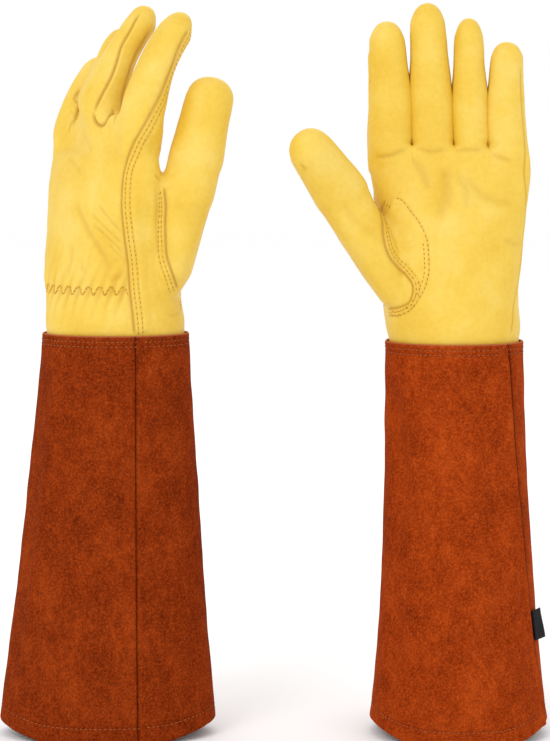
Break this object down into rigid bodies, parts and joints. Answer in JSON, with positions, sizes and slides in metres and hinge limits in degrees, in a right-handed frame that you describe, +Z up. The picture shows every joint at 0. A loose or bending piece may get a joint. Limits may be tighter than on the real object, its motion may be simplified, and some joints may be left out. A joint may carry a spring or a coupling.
{
  "type": "beekeeping gloves",
  "caption": "Pair of long gauntlet gloves with smooth leather hands, gathered wrists and flared suede cuffs, standing upright on their hems.",
  "frame": {"origin": "on the surface the gloves stand on, under the middle of the pair", "axes": "+Z up from hem to fingertips, -Y towards the viewer who sees the second glove's palm, +X from the first glove to the second"},
  "size_m": [0.3345, 0.1024, 0.4415],
  "materials": {
    "grain_leather": "smooth yellow grain leather with a soft sheen",
    "suede": "rust-brown napped suede",
    "suede_inside": "inner face of the suede",
    "elastic_band": "woven elastic",
    "label_cloth": "black woven tape",
    "grain_thread": "ochre sewing thread",
    "suede_thread": "tan sewing thread"
  },
  "bodies": {
    "glove1_cuff": {"glove1_cuff_palm_panel": "suede", "glove1_cuff_back_panel": "suede", "glove1_hem_turnup": "suede_inside", "glove1_wrist_facing": "grain_leather", "glove1_wrist_gathers": "grain_leather"},
    "glove1_hand": {"glove1_palm_panel": "grain_leather", "glove1_back_panel": "grain_leather", "glove1_thumb_gusset": "grain_leather", "glove1_side_welt": "grain_leather", "glove1_wrist_elastic": "elastic_band", "glove1_knuckle_folds": "grain_leather", "glove1_thumb_root": "grain_leather"},
    "glove1_index": {"glove1_index_palm_side": "grain_leather", "glove1_index_back_side": "grain_leather", "glove1_index_fourchette": "grain_leather"},
    "glove1_middle": {"glove1_middle_palm_side": "grain_leather", "glove1_middle_back_side": "grain_leather", "glove1_middle_fourchette": "grain_leather"},
    "glove1_ring": {"glove1_ring_palm_side": "grain_leather", "glove1_ring_back_side": "grain_leather", "glove1_ring_fourchette": "grain_leather"},
    "glove1_little": {"glove1_little_palm_side": "grain_leather", "glove1_little_back_side": "grain_leather", "glove1_little_fourchette": "grain_leather"},
    "glove1_thumb": {"glove1_thumb_front": "grain_leather", "glove1_thumb_back": "grain_leather"},
    "glove2_cuff": {"glove2_cuff_palm_panel": "suede", "glove2_cuff_back_panel": "suede", "glove2_hem_turnup": "suede_inside", "glove2_wrist_facing": "grain_leather", "glove2_wrist_gathers": "grain_leather", "glove2_label": "label_cloth"},
    "glove2_hand": {"glove2_palm_panel": "grain_leather", "glove2_back_panel": "grain_leather", "glove2_thumb_gusset": "grain_leather", "glove2_side_welt": "grain_leather", "glove2_wrist_elastic": "elastic_band", "glove2_knuckle_folds": "grain_leather", "glove2_thumb_root": "grain_leather"},
    "glove2_index": {"glove2_index_palm_side": "grain_leather", "glove2_index_back_side": "grain_leather", "glove2_index_fourchette": "grain_leather"},
    "glove2_middle": {"glove2_middle_palm_side": "grain_leather", "glove2_middle_back_side": "grain_leather", "glove2_middle_fourchette": "grain_leather"},
    "glove2_ring": {"glove2_ring_palm_side": "grain_leather", "glove2_ring_back_side": "grain_leather", "glove2_ring_fourchette": "grain_leather"},
    "glove2_little": {"glove2_little_palm_side": "grain_leather", "glove2_little_back_side": "grain_leather", "glove2_little_fourchette": "grain_leather"},
    "glove2_thumb": {"glove2_thumb_front": "grain_leather", "glove2_thumb_back": "grain_leather"}
  },
  "joints": [
    {"name": "glove1_wrist_bend", "type": "hinge", "parent": "glove1_cuff", "child": "glove1_hand", "pos_m": [-0.0955, 0.0015, 0.252], "axis": [-0.6428, 0.766, 0], "range_deg": [-15, 15], "stiffness_Nm_per_rad": 2, "deforming": ["glove1_wrist_gathers"]},
    {"name": "glove1_index_bend", "type": "hinge", "parent": "glove1_hand", "child": "glove1_index", "pos_m": [-0.07797, -0.02654, 0.358], "axis": [-0.6428, 0.766, 0], "range_deg": [-10, 12], "stiffness_Nm_per_rad": 0.15, "deforming": ["glove1_knuckle_folds"]},
    {"name": "glove1_middle_bend", "type": "hinge", "parent": "glove1_hand", "child": "glove1_middle", "pos_m": [-0.09469, -0.00662, 0.359], "axis": [-0.6428, 0.766, 0], "range_deg": [-10, 60], "stiffness_Nm_per_rad": 0.15, "deforming": ["glove1_knuckle_folds"]},
    {"name": "glove1_ring_bend", "type": "hinge", "parent": "glove1_hand", "child": "glove1_ring", "pos_m": [-0.10947, 0.011, 0.357], "axis": [-0.6428, 0.766, 0], "range_deg": [-10, 60], "stiffness_Nm_per_rad": 0.15, "deforming": ["glove1_knuckle_folds"]},
    {"name": "glove1_little_bend", "type": "hinge", "parent": "glove1_hand", "child": "glove1_little", "pos_m": [-0.12387, 0.02816, 0.354], "axis": [-0.6428, 0.766, 0], "range_deg": [-10, 60], "stiffness_Nm_per_rad": 0.15, "deforming": ["glove1_knuckle_folds"]},
    {"name": "glove1_thumb_swing", "type": "hinge", "parent": "glove1_hand", "child": "glove1_thumb", "pos_m": [-0.04707, -0.02729, 0.33069], "axis": [-0.6412, 0.7642, -0.0698], "range_deg": [0, 30], "stiffness_Nm_per_rad": 0.2, "deforming": ["glove1_thumb_root"]},
    {"name": "glove2_wrist_bend", "type": "hinge", "parent": "glove2_cuff", "child": "glove2_hand", "pos_m": [0.105, 0.003, 0.252], "axis": [1, 0, 0], "range_deg": [-15, 15], "stiffness_Nm_per_rad": 2, "deforming": ["glove2_wrist_gathers"]},
    {"name": "glove2_index_bend", "type": "hinge", "parent": "glove2_hand", "child": "glove2_index", "pos_m": [0.0684, 0.003, 0.358], "axis": [1, 0, 0], "range_deg": [-10, 60], "stiffness_Nm_per_rad": 0.15, "deforming": ["glove2_knuckle_folds"]},
    {"name": "glove2_middle_bend", "type": "hinge", "parent": "glove2_hand", "child": "glove2_middle", "pos_m": [0.0944, 0.003, 0.359], "axis": [1, 0, 0], "range_deg": [-10, 60], "stiffness_Nm_per_rad": 0.15, "deforming": ["glove2_knuckle_folds"]},
    {"name": "glove2_ring_bend", "type": "hinge", "parent": "glove2_hand", "child": "glove2_ring", "pos_m": [0.1174, 0.003, 0.357], "axis": [1, 0, 0], "range_deg": [-10, 60], "stiffness_Nm_per_rad": 0.15, "deforming": ["glove2_knuckle_folds"]},
    {"name": "glove2_little_bend", "type": "hinge", "parent": "glove2_hand", "child": "glove2_little", "pos_m": [0.1398, 0.003, 0.354], "axis": [1, 0, 0], "range_deg": [-10, 60], "stiffness_Nm_per_rad": 0.15, "deforming": ["glove2_knuckle_folds"]},
    {"name": "glove2_thumb_swing", "type": "hinge", "parent": "glove2_hand", "child": "glove2_thumb", "pos_m": [0.04678, -0.01026, 0.31315], "axis": [0.848, 0, 0.5299], "range_deg": [-5, 30], "stiffness_Nm_per_rad": 0.2, "deforming": ["glove2_thumb_root"]},
    {"name": "gloves_apart", "type": "slide", "parent": "glove1_cuff", "child": "glove2_cuff", "axis": [1, 0, 0], "range_m": [0, 0.1]}
  ]
}
